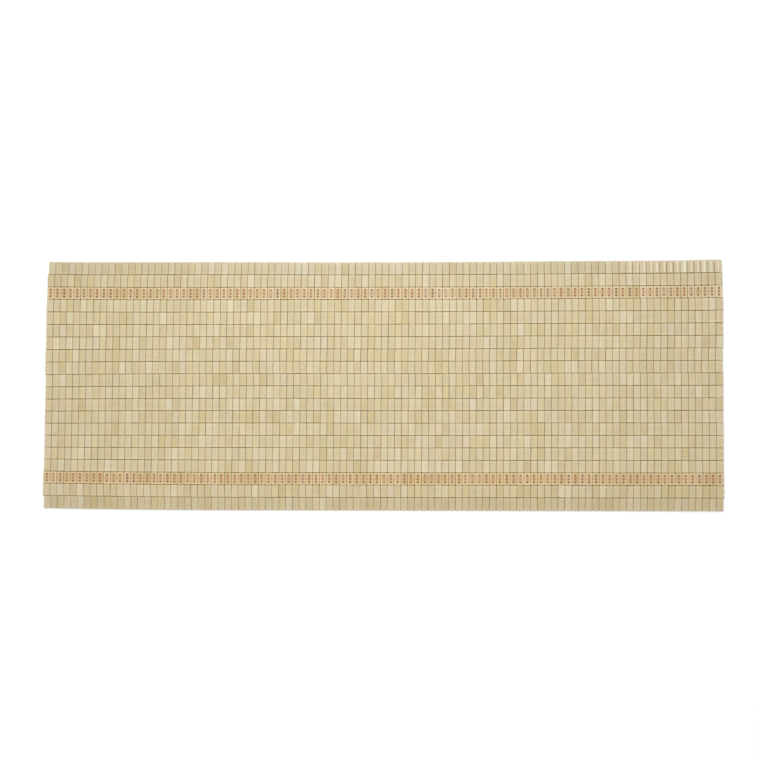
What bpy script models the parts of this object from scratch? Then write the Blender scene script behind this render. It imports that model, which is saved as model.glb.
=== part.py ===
"""Bamboo tile sleeping mat, lying flat.

The mat is twenty rows of a hundred small bamboo tiles, threaded edge to edge on elastic cords.
X runs along its length, Y across it and Z up. The flat tiles stand on Z = 0, and the origin is
under the middle of the mat. Rows count from the far edge, at +Y, and columns from the left end.

Each row is one closed strip, parted from the next by the real gap between rows. Its tiles are low
crowns, and the web under the grooves between them takes the place of the cords along the row.
Lengths are in metres.
"""

import math
from collections import namedtuple

import bmesh
import bpy
from mathutils import Vector

TILE_COLUMNS = 100
TILE_ROWS = 20
PRINTED_ROWS = (3, 18)

ROW_PITCH = 0.0348
ROW_GAP = 0.0010
TILE_THICKNESS = 0.0050
GROOVE_HEIGHT = 0.0040
END_SLOPE = 0.0025

# Where the rows end at the left and the right, for each run of rows down from the far edge.
RowRun = namedtuple("RowRun", "last_row left_end right_end")
ROW_RUNS = (
    RowRun(1, -0.9470, 0.9460),
    RowRun(3, -0.9500, 0.9480),
    RowRun(7, -0.9510, 0.9498),
    RowRun(9, -0.9515, 0.9484),
    RowRun(13, -0.9495, 0.9499),
    RowRun(17, -0.9495, 0.9507),
    RowRun(19, -0.9510, 0.9515),
    RowRun(20, -0.9478, 0.9499),
)

# The seams between the rows bow towards the far edge over the left end of the mat.
LEFT_BOW_COLUMNS = 30
LEFT_BOW_MEAN = 0.0014
LEFT_BOW_WAVE = 0.0036

# The far right corner is pushed outwards a little, most of all at the edge.
CORNER_PUSH_COLUMNS = 12
CORNER_PUSH_ROWS = 12
CORNER_PUSH = 0.0030

# Low hills over the mat's columns and rows: in the plane they shift the seams between the rows
# towards the far edge, and off the plane they lift the mat from the floor in a faint ripple.
Hill = namedtuple("Hill", "column half_columns row_edge half_rows height")
SEAM_SHIFTS = (
    Hill(24, 22, 0, 3.3, 0.0024),
    Hill(88, 20, 2, 4.0, 0.0010),
    Hill(55, 21, 9, 11.0, -0.0010),
)
RIPPLES = (
    Hill(77, 11, 0, 1.6, 0.0020),
    Hill(92, 14, 1, 1.6, 0.0012),
)
LIFTED_ROWS = 3

# The underside needs a point only every so many columns.
FLAT_STATION_STEP = 10
LIFTED_STATION_STEP = 5

FAR_SIDE = 0
NEAR_SIDE = 1

BAMBOO = {"name": "bamboo", "color": (0.62, 0.53, 0.335), "roughness": 0.42}
PRINTED_BAMBOO = {"name": "printed_bamboo", "color": (0.57, 0.43, 0.27), "roughness": 0.45}


def fade(distance, reach):
    """1 at no distance, falling smoothly to 0 at the reach and beyond."""
    return max(0.0, 1.0 - distance / reach) ** 2


def bump(distance, half_width):
    """1 at the centre, falling to 0 at the half width, level at both."""
    share = min(1.0, abs(distance) / half_width)
    return (1.0 - share * share) ** 2


def hill_sum(hills, column_edge, row_edge):
    return sum(
        hill.height
        * bump(column_edge - hill.column, hill.half_columns)
        * bump(row_edge - hill.row_edge, hill.half_rows)
        for hill in hills
    )


def seam_x(column_edge, row):
    """X of the seam on the left of column column_edge + 1, in a row."""
    run = next(run for run in ROW_RUNS if row <= run.last_row)
    return run.left_end + (run.right_end - run.left_end) * column_edge / TILE_COLUMNS


def seam_y(column_edge, row_edge):
    """Y of the seam below row row_edge, before the mat is centred; row_edge 0 is the far edge."""
    straight = (TILE_ROWS / 2 - row_edge) * ROW_PITCH
    turn = 2 * math.pi * row_edge / TILE_ROWS
    left_bow = LEFT_BOW_MEAN + LEFT_BOW_WAVE * math.cos(turn)
    corner_push = CORNER_PUSH * fade(row_edge, CORNER_PUSH_ROWS)
    from_right = TILE_COLUMNS - column_edge
    return (
        straight
        + left_bow * fade(column_edge, LEFT_BOW_COLUMNS)
        + corner_push * fade(from_right, CORNER_PUSH_COLUMNS)
        + hill_sum(SEAM_SHIFTS, column_edge, row_edge)
    )


def lift(column_edge, row_edge):
    """How far the mat's underside is off the floor at a crossing of seams."""
    return hill_sum(RIPPLES, column_edge, row_edge)


def mat_middle_y():
    """Y halfway between the outermost points of the far and the near edge."""
    columns = range(TILE_COLUMNS + 1)
    farthest = max(seam_y(column, 0) for column in columns)
    nearest = min(seam_y(column, TILE_ROWS) for column in columns)
    return (farthest + nearest) / 2


MIDDLE_Y = mat_middle_y()


def row_centre(row):
    return Vector((0.0, (TILE_ROWS / 2 - row + 0.5) * ROW_PITCH - MIDDLE_Y, 0.0))


def floor_point(row, column_edge, side):
    """The underside's point at one end of a seam between two tiles of the row."""
    row_edge = row - 1 if side == FAR_SIDE else row
    inwards = -ROW_GAP / 2 if side == FAR_SIDE else ROW_GAP / 2
    return Vector((
        seam_x(column_edge, row),
        seam_y(column_edge, row_edge) - MIDDLE_Y + inwards,
        lift(column_edge, row_edge),
    ))


def ridge_point(row, column, side):
    """The end of a tile's ridge: over the middle of the tile's end, and a little inwards."""
    left = floor_point(row, column - 1, side)
    right = floor_point(row, column, side)
    inwards = -END_SLOPE if side == FAR_SIDE else END_SLOPE
    return (left + right) / 2 + Vector((0.0, inwards, TILE_THICKNESS))


def raise_crown(mesh, face, row, column_of, side_of):
    """Turns a tile's flat top into two long slopes that meet in a ridge, and two short end slopes."""
    corner = {(vert[column_of], vert[side_of]): vert for vert in face.verts}
    right = max(vert[column_of] for vert in face.verts)
    left = right - 1
    centre = row_centre(row)
    far_ridge = mesh.verts.new(ridge_point(row, right, FAR_SIDE) - centre)
    near_ridge = mesh.verts.new(ridge_point(row, right, NEAR_SIDE) - centre)
    far_left = corner[left, FAR_SIDE]
    far_right = corner[right, FAR_SIDE]
    near_left = corner[left, NEAR_SIDE]
    near_right = corner[right, NEAR_SIDE]
    bmesh.ops.delete(mesh, geom=[face], context="FACES_ONLY")
    mesh.faces.new((near_left, near_ridge, far_ridge, far_left))
    mesh.faces.new((near_right, far_right, far_ridge, near_ridge))
    mesh.faces.new((far_left, far_ridge, far_right))
    mesh.faces.new((near_left, near_right, near_ridge))


def thin_out_underside(mesh, floor_verts, station_step, column_of, side_of):
    """Merges the underside's points into the nearest station, which leaves long plain faces there."""
    at = {(vert[column_of], vert[side_of]): vert for vert in floor_verts}
    merges = {}
    for (column, side), vert in at.items():
        station = round(column / station_step) * station_step
        if station != column:
            merges[vert] = at[station, side]
    bmesh.ops.weld_verts(mesh, targetmap=merges)


def row_mesh(row, name):
    """One row of tiles as a closed strip, around its own centre."""
    mesh = bmesh.new()
    bmesh.ops.create_grid(mesh, x_segments=TILE_COLUMNS, y_segments=1, size=0.5)
    column_of = mesh.verts.layers.int.new("column")
    side_of = mesh.verts.layers.int.new("side")
    centre = row_centre(row)
    for vert in mesh.verts:
        vert[column_of] = round((vert.co.x + 0.5) * TILE_COLUMNS)
        vert[side_of] = FAR_SIDE if vert.co.y > 0 else NEAR_SIDE
        vert.co = floor_point(row, vert[column_of], vert[side_of]) - centre
    floor_verts = list(mesh.verts)
    floor_faces = list(mesh.faces)
    raised = bmesh.ops.extrude_face_region(mesh, geom=floor_faces, use_keep_orig=True)["geom"]
    top_verts = [item for item in raised if isinstance(item, bmesh.types.BMVert)]
    top_faces = [item for item in raised if isinstance(item, bmesh.types.BMFace)]
    bmesh.ops.translate(mesh, verts=top_verts, vec=(0.0, 0.0, GROOVE_HEIGHT))
    for face in top_faces:
        raise_crown(mesh, face, row, column_of, side_of)
    station_step = LIFTED_STATION_STEP if row <= LIFTED_ROWS else FLAT_STATION_STEP
    thin_out_underside(mesh, floor_verts, station_step, column_of, side_of)
    bmesh.ops.recalc_face_normals(mesh, faces=mesh.faces)
    data = bpy.data.meshes.new(name)
    mesh.to_mesh(data)
    mesh.free()
    return data


def tile_material(finish):
    material = bpy.data.materials.new(finish["name"])
    material.use_nodes = True
    shader = material.node_tree.nodes["Principled BSDF"]
    shader.inputs["Base Color"].default_value = (*finish["color"], 1.0)
    shader.inputs["Roughness"].default_value = finish["roughness"]
    shader.inputs["Metallic"].default_value = 0.0
    return material


def clear_scene():
    for item in list(bpy.context.scene.objects):
        bpy.data.objects.remove(item, do_unlink=True)


def build_mat():
    collection = bpy.context.scene.collection
    mat = bpy.data.objects.new("sleeping_mat", None)
    collection.objects.link(mat)
    bamboo = tile_material(BAMBOO)
    printed_bamboo = tile_material(PRINTED_BAMBOO)
    for row in range(1, TILE_ROWS + 1):
        printed = row in PRINTED_ROWS
        name = f"{'printed' if printed else 'plain'}_row_{row:02d}"
        strip = bpy.data.objects.new(name, row_mesh(row, name))
        strip.data.materials.append(printed_bamboo if printed else bamboo)
        strip.location = row_centre(row)
        strip.parent = mat
        collection.objects.link(strip)


clear_scene()
build_mat()
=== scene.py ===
"""Looks of the bamboo tile sleeping mat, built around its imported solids.

Every row strip of the frame is replaced by a hundred separate tiles that stand where the strip's
seams are. Lengths are in metres, apart from those of the tile, its gaps, its cords and its printed
marks, which are in millimetres. X runs along the mat, Y across it towards the far edge, Z up.
"""

import math

import bpy
import numpy as np
from mathutils import Matrix, Vector


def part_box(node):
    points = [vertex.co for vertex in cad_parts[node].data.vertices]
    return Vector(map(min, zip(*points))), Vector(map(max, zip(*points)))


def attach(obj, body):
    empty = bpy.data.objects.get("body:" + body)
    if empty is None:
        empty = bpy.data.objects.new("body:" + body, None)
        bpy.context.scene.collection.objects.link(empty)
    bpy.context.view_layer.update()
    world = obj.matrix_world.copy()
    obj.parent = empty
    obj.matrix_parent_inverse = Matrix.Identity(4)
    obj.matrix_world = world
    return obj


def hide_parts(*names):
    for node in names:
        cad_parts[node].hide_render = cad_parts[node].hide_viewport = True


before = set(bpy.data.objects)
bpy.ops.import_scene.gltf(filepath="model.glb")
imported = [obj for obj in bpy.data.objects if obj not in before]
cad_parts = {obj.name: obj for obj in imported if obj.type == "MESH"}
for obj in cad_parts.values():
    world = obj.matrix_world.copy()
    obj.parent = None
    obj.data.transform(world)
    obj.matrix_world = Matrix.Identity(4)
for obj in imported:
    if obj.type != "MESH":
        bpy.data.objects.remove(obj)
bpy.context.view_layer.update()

MM = 0.001

TILE_COLUMNS = 100
TILE_ROWS = 20
PRINTED_ROWS = (3, 18)
GROOVE_HEIGHT = 0.0040
COLUMN_TOLERANCE = 0.1

# The tile's own drawing, in millimetres.
TILE_WIDTH = 18.05
TILE_LENGTH = 33.8
TILE_THICKNESS = 4.9
CROWN_SAG = 0.32
CORNER_RADIUS = 0.45
LEAST_RADIUS = 0.2
EDGE_ROUNDING = 0.55
EDGE_STEPS = 3
FOOT_CHAMFER = 0.4
WAIST_HEIGHT = 2.0
WAIST_GAP = 0.16
CROWN_INSET = 1.6
ARC_STEPS = 3
CROWN_STATIONS = (0.5, 0.0, -0.5)
FLAT_RINGS = 2

# Cords: where they cross the seams as shares of the tile, and their sizes in millimetres.
LENGTHWISE_SHARES = (0.15, 0.375, 0.605, 0.83)
LENGTHWISE_HEIGHT = 3.3
LENGTHWISE_RADIUS = 1.35
LENGTHWISE_REACH = -0.55
CROSSWISE_SHARES = (0.13, 0.87)
CROSSWISE_HEIGHT = 3.5
CROSSWISE_RADIUS = 0.9
CROSSWISE_DIP = 2.4
DIP_SHARES = (0.11, 0.89)
CROSSWISE_REACH = 0.45
CORD_SIDES = 6
TURN_SHARES = (0.15, 0.5, 0.85)
CORD_WEAVE = {"scale": 2500.0, "detail": 2.0}
CORD_ROUGHNESS = 0.7
PALE_CORD = ((0.84, 0.74, 0.48, 1.0), (0.93, 0.86, 0.62, 1.0))
TAN_CORD = ((0.46, 0.37, 0.21, 1.0), (0.58, 0.48, 0.29, 1.0))

# How unevenly the tiles sit, in millimetres and degrees.
SEED = 41
GAP_X = {"mean": 1.43, "spread": 0.34, "least": 0.60, "drift": 0.12}
GAP_Y = {"mean": 1.46, "spread": 0.22, "least": 0.60, "drift": 0.08}
CAD_ROW_GAP = 1.0
YAW_SPREAD = 0.16
ROLL_SPREAD = 0.55
PITCH_SPREAD = 0.22
MOST_SPREADS = 2.0

# Tile tones in display colours of 0 to 255, and how they spread along three directions.
FACE_TONE = np.array((216.0, 201.0, 164.0))
TONE_AXES = (
    {"direction": (0.36, 0.48, 0.80), "spread": 8.2},
    {"direction": (0.60, 0.48, -0.64), "spread": 1.5},
    {"direction": (0.68, -0.72, 0.10), "spread": 0.8},
)
TONE_TAIL = 5
TONE_LIMIT = 3.0
BAMBOO_ALBEDO = np.array((0.523, 0.437, 0.256))

# Rows that are not of the same tone as the others, as shares of their red, green and blue.
ROW_TONES = {
    1: (0.92, 0.93, 0.955),
    2: (0.965, 0.965, 0.955),
    3: (1.055, 1.05, 1.02),
    18: (1.065, 1.005, 0.92),
    19: (0.955, 0.94, 0.92),
    20: (0.875, 0.85, 0.81),
}

# A screen's curve between linear light and display colours.
DISPLAY_WHITE = 255.0
CURVE_START = 0.04045
CURVE_SLOPE = 12.92
CURVE_OFFSET = 0.055
CURVE_SCALE = 1.055
CURVE_POWER = 2.4

# The bamboo's noises: their scale across the fibres, and how far they are drawn out along them.
BROAD_STREAKS = {"scale": 0.22, "detail": 1.0, "along": 0.05}
FIBRE_STREAKS = {"scale": 2.2, "detail": 3.0, "along": 0.04}
BUNDLE_STREAKS = {"scale": 5.0, "detail": 1.0, "along": 0.07}
PATTERN_SHIFT = 400.0

# Smooth steps of the bamboo: where each one starts and ends, and its values there.
NOISE_MIDDLE = (0.3, 0.7)
BROAD_TONES = (0.95, 1.05)
FIBRE_TONES = (0.90, 1.07)
# Painted highlight: each tile is painted lighter within a few millimetres of both its ends, as light caught
# on their rounded edges.
END_HIGHLIGHT_ROOM = (2.0, 5.0)
END_HIGHLIGHT_TONES = (1.09, 1.0)
DASH_LEVELS = (0.60, 0.70)
DASH_STRENGTHS = (0.0, 0.45)
# Painted shade on the tile's rounded top edge, darkest at the very edge.
RIM_SHADE_ROOM = (0.1, 0.8)
RIM_SHADE_STRENGTHS = (0.45, 0.0)
# Painted shade on the tile's sides, full below the first height and gone above the second.
WALL_SHADE_HEIGHTS = (TILE_THICKNESS - 1.6, TILE_THICKNESS - 0.7)
WALL_SHADE_STRENGTHS = (0.95, 0.0)
FACE_ROUGHNESS = (0.34, 0.50)

# Linear colours of the bamboo's dashes, of the painted shade on its rim and on its sides down in the seams,
# and its lacquer and relief.
DASH_COLOUR = (0.33, 0.22, 0.09, 1.0)
RIM_SHADE_COLOUR = (0.44, 0.28, 0.030, 1.0)
WALL_SHADE_COLOUR = (0.12, 0.068, 0.007, 1.0)
COAT_WEIGHT = 0.7
COAT_ROUGHNESS = 0.08
BUNDLE_RELIEF = 0.5
BUMP_STRENGTH = 0.12
BUMP_DEPTH = 0.00015

# Printed marks, measured from the tile's middle. Each edge is where the ink starts and where it is full.
MARK_WOBBLE = 1.2
MARK_SHIFT = 1.2
DOT_PLACE = 9.3
DOT_STRETCH = 0.9
DOT_EDGE = (3.3, 2.8)
CROSS_ARM_EDGE = (1.5, 1.1)
CROSS_END_EDGE = (4.2, 3.8)
CENTRE_EDGE = (2.1, 1.7)
SPOT_PLACE = (3.3, 3.1)
SPOT_EDGE = (1.7, 1.3)
RING_RADIUS = 3.3
RING_EDGE = (0.9, 0.6)
CROSS_BELOW = 0.5
RING_ABOVE = 0.8

# Printed tiles' inks, from the darkest to the lightest, their wear, and the faint stain under them.
DOT_INKS = ((0.115, 0.044, 0.004, 1.0), (0.21, 0.062, 0.006, 1.0))
FIGURE_INKS = ((0.12, 0.045, 0.003, 1.0), (0.27, 0.062, 0.006, 1.0))
FAINT_CHANCES = (0.0, 0.6)
INK_STRENGTHS = (0.86, 1.0)
WEAR_LEVELS = (0.25, 0.5)
WEAR_STRENGTHS = (0.90, 1.0)
STAIN_EDGE = (13.5, 9.5)
STAIN_STRENGTHS = (0.25, 1.0)
STAIN_COLOUR = (1.0, 0.885, 0.82, 1.0)

# The floor under the mat, the even light from all round, and the lamps, with their power in watts.
FLOOR_SIZE = 40.0
FLOOR_PLACE = (0.0, 0.0, -0.0001)
FLOOR_COLOUR = (0.93, 0.93, 0.93, 1.0)
FLOOR_ROUGHNESS = 0.9
WORLD_COLOUR = (1.0, 1.0, 1.0, 1.0)
WORLD_STRENGTH = 0.79
AREA_LIGHTS = (
    {
        "name": "key_behind",
        "place": (-0.15, 1.30, 1.9),
        "aim": (0.0, 0.1, 0.0),
        "size": (1.0, 0.45),
        "power": 23.7,
    },
    {
        "name": "key_in_front",
        "place": (-0.15, -1.45, 1.9),
        "aim": (0.0, 0.0, 0.0),
        "size": (1.0, 0.45),
        "power": 11.4,
    },
    {
        "name": "far_strip",
        "place": (1.30, 3.3, 12.0),
        "aim": (0.9, 0.3, 0.0),
        "size": (0.50, 1.9),
        "power": 42.0,
    },
)

CAMERA_PLACE = (0.8930, -1.1231, 9.6761)
CAMERA_TURNS = {"around_y": -5.297, "around_x": -6.675, "roll": -0.546}
FOCAL_PIXELS = 3500.0
PHOTO_WIDTH = 760
SENSOR_WIDTH = 36.0
CAMERA_REACH = 100.0


def to_linear(display):
    """Display colours of 0 to 255 as linear light."""
    share = np.clip(np.asarray(display) / DISPLAY_WHITE, 0.0, 1.0)
    curved = ((share + CURVE_OFFSET) / CURVE_SCALE) ** CURVE_POWER
    return np.where(share <= CURVE_START, share / CURVE_SLOPE, curved)


def make_camera():
    """The photograph's view: from high above, a little to the right of the mat and in front of it."""
    data = bpy.data.cameras.new("camera")
    data.sensor_width = SENSOR_WIDTH
    data.lens = FOCAL_PIXELS / PHOTO_WIDTH * SENSOR_WIDTH
    data.clip_end = CAMERA_REACH
    camera = bpy.data.objects.new("camera", data)
    turn_y = Matrix.Rotation(math.radians(CAMERA_TURNS["around_y"]), 4, "Y")
    turn_x = Matrix.Rotation(math.radians(CAMERA_TURNS["around_x"]), 4, "X")
    roll = Matrix.Rotation(math.radians(CAMERA_TURNS["roll"]), 4, "Z")
    world_to_camera = roll @ turn_x @ turn_y
    camera.matrix_world = Matrix.Translation(CAMERA_PLACE) @ world_to_camera.transposed()
    bpy.context.scene.collection.objects.link(camera)
    bpy.context.scene.camera = camera


def tile_ring(inset):
    """The tile's outline seen from above, taken in by an inset, counterclockwise from the right side.

    It has an arc at each corner, and the far and the near end have points for the crown.
    """
    half_width = TILE_WIDTH / 2 - inset
    half_length = TILE_LENGTH / 2 - inset
    radius = max(CORNER_RADIUS - inset, LEAST_RADIUS)
    points = []
    for quarter, (side_x, side_y) in enumerate(((1, 1), (-1, 1), (-1, -1), (1, -1))):
        centre_x = side_x * (half_width - radius)
        centre_y = side_y * (half_length - radius)
        for step in range(ARC_STEPS + 1):
            angle = (quarter + step / ARC_STEPS) * math.pi / 2
            points.append((centre_x + radius * math.cos(angle), centre_y + radius * math.sin(angle)))
        if quarter in (0, 2):
            for station in CROWN_STATIONS:
                points.append((station * (half_width - radius) * side_x, side_y * half_length))
    return points


def tile_rings():
    """Every ring of the tile from its foot to the inner edge of its crown, as (inset, height)."""
    rings = [(FOOT_CHAMFER, 0.0), (0.0, WAIST_HEIGHT)]
    for step in range(EDGE_STEPS + 1):
        angle = step / EDGE_STEPS * math.pi / 2
        inset = EDGE_ROUNDING * (1 - math.cos(angle))
        rings.append((inset, TILE_THICKNESS - EDGE_ROUNDING * (1 - math.sin(angle))))
    rings.append((CROWN_INSET, TILE_THICKNESS))
    return rings


def tile_template():
    """One tile around its own centre, standing on zero: its points, and its faces as index tuples."""
    points = []
    faces = []
    rings = tile_rings()
    for level, (inset, height) in enumerate(rings):
        for x, y in tile_ring(inset):
            sag = CROWN_SAG * (2 * x / TILE_WIDTH) ** 2 if level >= FLAT_RINGS else 0.0
            points.append((x, y, height - sag))
    count = len(points) // len(rings)
    for level in range(len(rings) - 1):
        for index in range(count):
            following = (index + 1) % count
            low = level * count
            high = low + count
            faces.append((low + index, low + following, high + following, high + index))
    faces.append(tuple(range(count - 1, -1, -1)))
    top = (len(rings) - 1) * count
    arc = ARC_STEPS + 1
    stations = len(CROWN_STATIONS)
    far_end = list(range(top + ARC_STEPS, top + ARC_STEPS + stations + 2))
    near_start = top + 2 * arc + stations + ARC_STEPS
    near_end = list(range(near_start, near_start + stations + 2))[::-1]
    for index in range(stations + 1):
        faces.append((far_end[index], far_end[index + 1], near_end[index + 1], near_end[index]))
    right_far = list(range(top, top + arc))
    right_near = list(range(top + count - arc, top + count))
    left_start = top + arc + stations
    faces.append(tuple(right_near + right_far))
    faces.append(tuple(range(left_start, left_start + 2 * arc)))
    return np.array(points), faces


def strip_corners(node):
    """Where the seams between tiles meet the far and the near side of a row strip, at its underside."""
    low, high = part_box(node)
    points = np.array([vert.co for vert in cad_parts[node].data.vertices], float)
    column_edges = (points[:, 0] - low.x) / (high.x - low.x) * TILE_COLUMNS
    sides = {}
    for side, direction in (("far", 1.0), ("near", -1.0)):
        corners = []
        for edge in range(TILE_COLUMNS + 1):
            group = points[np.abs(column_edges - edge) < COLUMN_TOLERANCE]
            outer = group[direction * group[:, 1] > direction * group[:, 1].mean()]
            corner = outer[outer[:, 2].argmax()].copy()
            corner[2] -= GROOVE_HEIGHT
            corners.append(corner)
        sides[side] = np.array(corners)
    return sides


def unit(vectors):
    return vectors / np.linalg.norm(vectors, axis=-1, keepdims=True)


def spread(rng, size, count):
    """Random numbers around zero with a standard deviation, none of them far out."""
    return size * np.clip(rng.standard_normal(count), -MOST_SPREADS, MOST_SPREADS)


def small_turns(yaw, roll, pitch):
    """Rotation matrices for small turns in degrees about Z, Y and X, one for each tile."""
    turns = []
    for z, y, x in zip(yaw, roll, pitch):
        turn = (
            Matrix.Rotation(math.radians(z), 3, "Z")
            @ Matrix.Rotation(math.radians(y), 3, "Y")
            @ Matrix.Rotation(math.radians(x), 3, "X")
        )
        turns.append(np.array(turn))
    return np.array(turns)


def draw_seams(rng, gap, shape):
    """How far the tiles stay back from each seam, on its first side and on its second."""
    width = np.maximum(gap["mean"] + spread(rng, gap["spread"], shape), gap["least"])
    drift = spread(rng, gap["drift"], shape)
    return width / 2 - drift, width / 2 + drift


def widen_waist(shape, template, backs):
    """Brings the waists of neighbouring tiles almost together, however far back their faces stay."""
    waist = template[:, 2] == WAIST_HEIGHT
    left, right, near, far = (back[:, None] - WAIST_GAP / 2 for back in backs)
    share_x = 2 * template[None, waist, 0] / TILE_WIDTH
    share_y = 2 * template[None, waist, 1] / TILE_LENGTH
    shape[:, waist, 0] += share_x * np.where(share_x < 0, left, right)
    shape[:, waist, 1] += share_y * np.where(share_y < 0, near, far)


def place_tiles(corners, template, back_far, back_near, rng):
    """The template's points for every tile of a row, in the frame, in metres."""
    count = TILE_COLUMNS
    far_left, far_right = corners["far"][:-1], corners["far"][1:]
    near_left, near_right = corners["near"][:-1], corners["near"][1:]
    along_x = unit((far_right + near_right) - (far_left + near_left))
    far_middle = (far_left + far_right) / 2
    near_middle = (near_left + near_right) / 2
    before, after = draw_seams(rng, GAP_X, count + 1)
    back_left, back_right = after[:-1], before[1:]
    along_y = unit(far_middle - near_middle)
    along_y = unit(along_y - along_x * (along_x * along_y).sum(1, keepdims=True))
    axes = np.stack((along_x, along_y, np.cross(along_x, along_y)), axis=2)
    turns = small_turns(
        spread(rng, YAW_SPREAD, count), spread(rng, ROLL_SPREAD, count), spread(rng, PITCH_SPREAD, count)
    )
    pitch = np.linalg.norm(far_right - far_left, axis=1) / MM
    depth = np.linalg.norm(far_middle - near_middle, axis=1) / MM + CAD_ROW_GAP
    scale = np.ones((count, 1, 3))
    scale[:, 0, 0] = (pitch - back_left - back_right) / TILE_WIDTH
    scale[:, 0, 1] = (depth - back_far - back_near) / TILE_LENGTH
    shape = template[None] * scale
    widen_waist(shape, template, (back_left, back_right, back_near, back_far))
    tilted = np.einsum("nij,nvj->nvi", turns, shape)
    tilted[:, :, 2] -= tilted[:, :, 2].min(axis=1, keepdims=True)
    shift = np.stack((back_left - back_right, back_near - back_far, np.zeros(count)), axis=1) / 2
    turned = np.einsum("nij,nvj->nvi", axes, tilted + shift[:, None]) * MM
    return turned + ((far_middle + near_middle) / 2)[:, None]


def tile_tones(rng, count):
    """A linear colour for each tile, spread as bamboo from many culms is."""
    display = np.repeat(FACE_TONE[None], count, axis=0)
    for axis in TONE_AXES:
        steps = np.clip(rng.standard_t(TONE_TAIL, count), -TONE_LIMIT, TONE_LIMIT)
        display += steps[:, None] * axis["spread"] * np.array(axis["direction"])
    return BAMBOO_ALBEDO * to_linear(display) / to_linear(FACE_TONE)


def add_point_attribute(mesh, name, kind, values):
    """Stores one value for each point: a colour of four numbers or a vector of three."""
    attribute = mesh.attributes.new(name, kind, "POINT")
    field = "color" if kind == "FLOAT_COLOR" else "vector"
    attribute.data.foreach_set(field, np.ascontiguousarray(values, np.float32).ravel())


def add_piece(name, points, faces):
    """A smooth-shaded mesh piece that rides on the mat's body."""
    mesh = bpy.data.meshes.new(name)
    mesh.from_pydata(points.tolist(), [], faces)
    mesh.shade_smooth()
    piece = bpy.data.objects.new(name, mesh)
    bpy.context.scene.collection.objects.link(piece)
    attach(piece, "root")
    return piece


def repeat_faces(faces, points_each, count):
    return [tuple(index + tile * points_each for index in face) for tile in range(count) for face in faces]


def build_row(row, material, tile, back_far, back_near, rng):
    """A row of a hundred tiles in one mesh, in place of its solid strip."""
    template, faces = tile
    printed = row in PRINTED_ROWS
    node = f"{'printed' if printed else 'plain'}_row_{row:02d}"
    corners = strip_corners(node)
    points = place_tiles(corners, template, back_far, back_near, rng)
    points_each = len(template)
    piece = add_piece(
        f"tiles_row_{row:02d}", points.reshape(-1, 3), repeat_faces(faces, points_each, TILE_COLUMNS)
    )
    tones = np.ones((TILE_COLUMNS, points_each, 4))
    tones[:, :, :3] = (tile_tones(rng, TILE_COLUMNS) * ROW_TONES.get(row, 1.0))[:, None]
    add_point_attribute(piece.data, "tone", "FLOAT_COLOR", tones)
    local = np.repeat(template[None], TILE_COLUMNS, axis=0)
    add_point_attribute(piece.data, "place", "FLOAT_VECTOR", local)
    chances = np.repeat(rng.random((TILE_COLUMNS, 1, 3)), points_each, axis=1)
    add_point_attribute(piece.data, "chance", "FLOAT_VECTOR", chances)
    piece.data.materials.append(material)
    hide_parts(node)
    return corners


class Nodes:
    """Adds shader nodes to a material, one short call each."""

    def __init__(self, material):
        material.use_nodes = True
        self.tree = material.node_tree
        self.shader = self.tree.nodes["Principled BSDF"]

    def add(self, kind, inputs=None, **settings):
        node = self.tree.nodes.new(kind)
        for name, value in settings.items():
            setattr(node, name, value)
        for key, value in (inputs or {}).items():
            self.plug(node.inputs[key], value)
        return node

    def plug(self, socket, value):
        if isinstance(value, bpy.types.NodeSocket):
            self.tree.links.new(value, socket)
        else:
            socket.default_value = value

    def math(self, operation, *values):
        inputs = dict(enumerate(values))
        return self.add("ShaderNodeMath", inputs, operation=operation).outputs[0]

    def length(self, x, y):
        squares = (self.math("MULTIPLY", x, x), self.math("MULTIPLY", y, y))
        return self.math("SQRT", self.math("ADD", *squares))

    def ramp(self, value, low, high, to_low=0.0, to_high=1.0):
        """A smooth step from to_low at low to to_high at high."""
        inputs = {"Value": value, "From Min": low, "From Max": high, "To Min": to_low, "To Max": to_high}
        return self.add("ShaderNodeMapRange", inputs, interpolation_type="SMOOTHSTEP").outputs[0]

    def noise(self, vector, scale, detail):
        inputs = {"Vector": vector, "Scale": scale, "Detail": detail}
        return self.add("ShaderNodeTexNoise", inputs).outputs["Fac"]

    def streaks(self, x, y, z, pattern):
        """Noise that is drawn out along the tile."""
        along = self.math("MULTIPLY", y, pattern["along"])
        return self.noise(self.combine(x, along, z), pattern["scale"], pattern["detail"])

    def swing(self, value, size):
        """A value of 0 to 1 as a swing of some size, half of it to either side of zero."""
        return self.math("MULTIPLY", self.math("SUBTRACT", value, 0.5), size)

    def tint(self, factor, first, second, blend="MIX"):
        inputs = {0: factor, 6: first, 7: second}
        return self.add("ShaderNodeMix", inputs, data_type="RGBA", blend_type=blend).outputs[2]

    def attribute(self, name):
        return self.add("ShaderNodeAttribute", attribute_name=name).outputs

    def combine(self, x, y, z):
        return self.add("ShaderNodeCombineXYZ", {0: x, 1: y, 2: z}).outputs[0]

    def separate(self, vector):
        return self.add("ShaderNodeSeparateXYZ", {0: vector}).outputs


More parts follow.
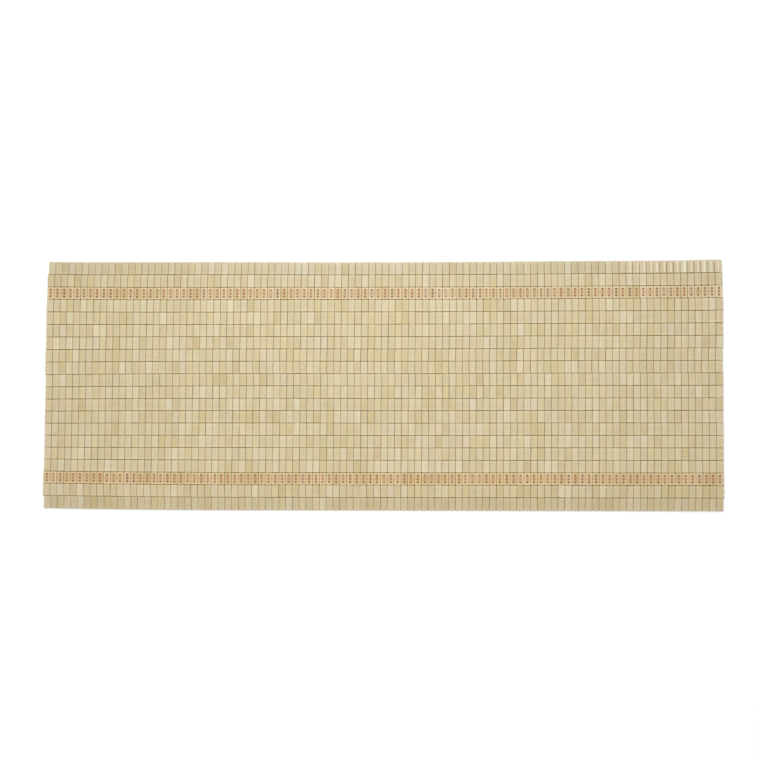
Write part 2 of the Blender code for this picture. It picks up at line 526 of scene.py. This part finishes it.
def bamboo_material(name, printed):
    """Lacquered bamboo with its fibres along the tile, a painted highlight at its ends and painted shade on
    its rims and sides; printed tiles carry an ornament as well.
    """
    material = bpy.data.materials.new(name)
    nodes = Nodes(material)
    x, y, z = nodes.separate(nodes.attribute("place")["Vector"])[:3]
    chance = nodes.separate(nodes.attribute("chance")["Vector"])
    moved_x = nodes.math("ADD", x, nodes.math("MULTIPLY", chance[0], PATTERN_SHIFT))
    moved_y = nodes.math("ADD", y, nodes.math("MULTIPLY", chance[1], PATTERN_SHIFT))
    broad = nodes.streaks(moved_x, moved_y, z, BROAD_STREAKS)
    fibre = nodes.streaks(moved_x, moved_y, z, FIBRE_STREAKS)
    bundle = nodes.streaks(moved_x, moved_y, z, BUNDLE_STREAKS)

    colour = nodes.attribute("tone")["Color"]
    broad_tone = nodes.ramp(broad, *NOISE_MIDDLE, *BROAD_TONES)
    fibre_tone = nodes.ramp(fibre, *NOISE_MIDDLE, *FIBRE_TONES)
    end_room = nodes.math("SUBTRACT", TILE_LENGTH / 2, nodes.math("ABSOLUTE", y))
    # Painted highlight: the tile's colour is lighter towards both of its ends.
    end_highlight = nodes.ramp(end_room, *END_HIGHLIGHT_ROOM, *END_HIGHLIGHT_TONES)
    grain_and_end_highlight = nodes.math("MULTIPLY", nodes.math("MULTIPLY", broad_tone, fibre_tone), end_highlight)
    colour = nodes.tint(1.0, colour, nodes.combine(grain_and_end_highlight, grain_and_end_highlight, grain_and_end_highlight), "MULTIPLY")
    dashes = nodes.ramp(bundle, *DASH_LEVELS, *DASH_STRENGTHS)
    colour = nodes.tint(dashes, colour, DASH_COLOUR)

    # Painted shade: the tile darkens to brown over its rounded top edge, towards the seams and the mat's
    # outer edge.
    side_room = nodes.math("SUBTRACT", TILE_WIDTH / 2, nodes.math("ABSOLUTE", x))
    rim_shade = nodes.ramp(nodes.math("MINIMUM", side_room, end_room), *RIM_SHADE_ROOM, *RIM_SHADE_STRENGTHS)
    colour = nodes.tint(rim_shade, colour, RIM_SHADE_COLOUR)
    # Painted shade: the tile's sides go near-black below the top edge, standing in for the shade down in
    # the seams and at the mat's outer edge.
    wall_shade = nodes.ramp(z, *WALL_SHADE_HEIGHTS, *WALL_SHADE_STRENGTHS)
    colour = nodes.tint(wall_shade, colour, WALL_SHADE_COLOUR)
    if printed:
        stain = nodes.ramp(nodes.math("ABSOLUTE", y), *STAIN_EDGE, *STAIN_STRENGTHS)
        colour = nodes.tint(stain, colour, STAIN_COLOUR, "MULTIPLY")
        ink, ink_colour = printed_ornament(nodes, x, y, chance, fibre)
        colour = nodes.tint(ink, colour, ink_colour)
    nodes.plug(nodes.shader.inputs["Base Color"], colour)
    roughness = nodes.ramp(fibre, *NOISE_MIDDLE, *FACE_ROUGHNESS)
    nodes.plug(nodes.shader.inputs["Roughness"], roughness)
    nodes.shader.inputs["Coat Weight"].default_value = COAT_WEIGHT
    nodes.shader.inputs["Coat Roughness"].default_value = COAT_ROUGHNESS
    relief = nodes.math("ADD", fibre, nodes.math("MULTIPLY", bundle, BUNDLE_RELIEF))
    bump_inputs = {"Height": relief, "Strength": BUMP_STRENGTH, "Distance": BUMP_DEPTH}
    bump = nodes.add("ShaderNodeBump", bump_inputs)
    nodes.plug(nodes.shader.inputs["Normal"], bump.outputs[0])
    return material


def printed_ornament(nodes, x, y, chance, fibre):
    """A dot near each end of the tile and one of three plain figures between them, in worn ink."""
    mark_x = nodes.math("ADD", x, nodes.swing(chance[1], MARK_SHIFT))
    across = nodes.math("ABSOLUTE", mark_x)
    along = nodes.math("ABSOLUTE", y)
    dot_across = nodes.math("MULTIPLY", across, DOT_STRETCH)
    dot_far = nodes.length(dot_across, nodes.math("SUBTRACT", along, DOT_PLACE))
    dot = nodes.ramp(nodes.math("ADD", dot_far, nodes.swing(fibre, MARK_WOBBLE)), *DOT_EDGE)

    centre_far = nodes.length(mark_x, y)
    centre = nodes.ramp(centre_far, *CENTRE_EDGE)
    reach = nodes.math("MAXIMUM", across, along)
    arms = nodes.math("ABSOLUTE", nodes.math("SUBTRACT", across, along))
    cross = nodes.math("MULTIPLY", nodes.ramp(arms, *CROSS_ARM_EDGE), nodes.ramp(reach, *CROSS_END_EDGE))
    spot_across = nodes.math("SUBTRACT", across, SPOT_PLACE[0])
    spot_far = nodes.length(spot_across, nodes.math("SUBTRACT", along, SPOT_PLACE[1]))
    spots = nodes.ramp(spot_far, *SPOT_EDGE)
    ring_far = nodes.math("ABSOLUTE", nodes.math("SUBTRACT", centre_far, RING_RADIUS))
    ring = nodes.ramp(ring_far, *RING_EDGE)

    is_cross = nodes.math("LESS_THAN", chance[0], CROSS_BELOW)
    is_ring = nodes.math("GREATER_THAN", chance[0], RING_ABOVE)
    is_spots = nodes.math("SUBTRACT", nodes.math("SUBTRACT", 1.0, is_cross), is_ring)
    figure = nodes.math("MULTIPLY", nodes.math("MAXIMUM", cross, centre), is_cross)
    for shape, is_shape in ((ring, is_ring), (spots, is_spots)):
        whole = nodes.math("MAXIMUM", shape, centre)
        figure = nodes.math("ADD", figure, nodes.math("MULTIPLY", whole, is_shape))
    strength = nodes.ramp(chance[2], *FAINT_CHANCES, *INK_STRENGTHS)
    worn = nodes.ramp(fibre, *WEAR_LEVELS, *WEAR_STRENGTHS)
    ink = nodes.math("MULTIPLY", nodes.math("MAXIMUM", dot, figure), nodes.math("MULTIPLY", strength, worn))
    dot_ink = nodes.tint(chance[1], *DOT_INKS)
    figure_ink = nodes.tint(chance[1], *FIGURE_INKS)
    return ink, nodes.tint(dot, figure_ink, dot_ink)


def cord_material(name, dark, light):
    """Ribbed elastic cord between two tones."""
    material = bpy.data.materials.new(name)
    nodes = Nodes(material)
    where = nodes.add("ShaderNodeTexCoord").outputs["Object"]
    weave = nodes.noise(where, CORD_WEAVE["scale"], CORD_WEAVE["detail"])
    colour = nodes.tint(nodes.ramp(weave, *NOISE_MIDDLE), dark, light)
    nodes.plug(nodes.shader.inputs["Base Color"], colour)
    nodes.shader.inputs["Roughness"].default_value = CORD_ROUGHNESS
    return material


def tube_loop(path, radius):
    """A closed tube round a closed path: its points, and its faces as index tuples."""
    path = np.array(path)
    tangent = unit(np.roll(path, -1, axis=0) - np.roll(path, 1, axis=0))
    side = unit(np.cross(tangent, (0.0, 0.0, 1.0)))
    top = np.cross(side, tangent)
    angles = np.arange(CORD_SIDES) * 2 * math.pi / CORD_SIDES
    around = side[:, None] * np.cos(angles)[None, :, None] + top[:, None] * np.sin(angles)[None, :, None]
    points = (path[:, None] + radius * around).reshape(-1, 3)
    faces = []
    for step in range(len(path)):
        here = step * CORD_SIDES
        there = (step + 1) % len(path) * CORD_SIDES
        for index in range(CORD_SIDES):
            following = (index + 1) % CORD_SIDES
            faces.append((here + index, here + following, there + following, there + index))
    return points, faces


def turned_back(first, second, reach):
    """Two runs of a cord joined into one loop, with a tight turn outside the last tile at each end."""
    outwards = unit(first[-1] - first[-2]) * reach * MM
    inwards = unit(first[0] - first[1]) * reach * MM
    path = list(first)
    for share in TURN_SHARES:
        path.append(first[-1] + (second[-1] - first[-1]) * share + outwards)
    path.extend(second[::-1])
    for share in TURN_SHARES:
        path.append(second[0] + (first[0] - second[0]) * share + inwards)
    return path


def lengthwise_paths(all_corners):
    """Loops along the rows: each goes out through one hole of every tile, and back through the next."""
    paths = []
    lift = np.array((0.0, 0.0, LENGTHWISE_HEIGHT * MM))
    for corners in all_corners:
        runs = [
            corners["far"] + (corners["near"] - corners["far"]) * share + lift
            for share in LENGTHWISE_SHARES
        ]
        paths.append(turned_back(runs[0], runs[1], LENGTHWISE_REACH))
        paths.append(turned_back(runs[2], runs[3], LENGTHWISE_REACH))
    return paths


def crosswise_paths(all_corners):
    """Loops across the rows: one for every column, out on the left of its tiles, back on the right.

    Inside each tile the cord dips under the cords that run along the row.
    """
    paths = []
    lift = np.array((0.0, 0.0, CROSSWISE_HEIGHT * MM))
    dip = np.array((0.0, 0.0, CROSSWISE_DIP * MM))
    for column in range(TILE_COLUMNS):
        runs = []
        for share in CROSSWISE_SHARES:
            run = []
            for corners in all_corners:
                far = corners["far"][column] * (1 - share) + corners["far"][column + 1] * share + lift
                near = corners["near"][column] * (1 - share) + corners["near"][column + 1] * share + lift
                run.append(far)
                for dip_share in DIP_SHARES:
                    run.append(far + (near - far) * dip_share - dip)
                run.append(near)
            runs.append(np.array(run))
        paths.append(turned_back(runs[0], runs[1], CROSSWISE_REACH))
    return paths


def build_cords(name, paths, radius, material):
    """All cords of one direction in one mesh."""
    points = []
    faces = []
    start = 0
    for path in paths:
        tube_points, tube_faces = tube_loop(path, radius * MM)
        points.append(tube_points)
        faces.extend(tuple(index + start for index in face) for face in tube_faces)
        start += len(tube_points)
    piece = add_piece(name, np.concatenate(points), faces)
    piece.data.materials.append(material)


def build_floor():
    bpy.ops.mesh.primitive_plane_add(size=FLOOR_SIZE, location=FLOOR_PLACE)
    floor = bpy.context.object
    floor.name = "floor"
    material = bpy.data.materials.new("floor")
    nodes = Nodes(material)
    nodes.shader.inputs["Base Color"].default_value = FLOOR_COLOUR
    nodes.shader.inputs["Roughness"].default_value = FLOOR_ROUGHNESS
    floor.data.materials.append(material)


def add_area_light(name, place, aim, size, power):
    data = bpy.data.lights.new(name, "AREA")
    data.shape = "RECTANGLE"
    data.size, data.size_y = size
    data.energy = power
    light = bpy.data.objects.new(name, data)
    light.location = place
    light.rotation_euler = (Vector(aim) - Vector(place)).to_track_quat("-Z", "Y").to_euler()
    bpy.context.scene.collection.objects.link(light)


def build_lights():
    scene = bpy.context.scene
    world = bpy.data.worlds.new("studio")
    world.use_nodes = True
    world.node_tree.nodes["Background"].inputs["Color"].default_value = WORLD_COLOUR
    world.node_tree.nodes["Background"].inputs["Strength"].default_value = WORLD_STRENGTH
    scene.world = world
    for light in AREA_LIGHTS:
        add_area_light(**light)
    scene.view_settings.view_transform = "Standard"


def main():
    make_camera()
    build_floor()
    build_lights()
    rng = np.random.default_rng(SEED)
    tile = tile_template()
    plain = bamboo_material("bamboo", printed=False)
    printed = bamboo_material("printed_bamboo", printed=True)
    above, below = draw_seams(rng, GAP_Y, (TILE_ROWS + 1, TILE_COLUMNS))
    all_corners = []
    for row in range(1, TILE_ROWS + 1):
        material = printed if row in PRINTED_ROWS else plain
        all_corners.append(build_row(row, material, tile, below[row - 1], above[row], rng))
    pale_cord = cord_material("pale_cord", *PALE_CORD)
    tan_cord = cord_material("tan_cord", *TAN_CORD)
    build_cords("lengthwise_cords", lengthwise_paths(all_corners), LENGTHWISE_RADIUS, pale_cord)
    build_cords("crosswise_cords", crosswise_paths(all_corners), CROSSWISE_RADIUS, tan_cord)


main()
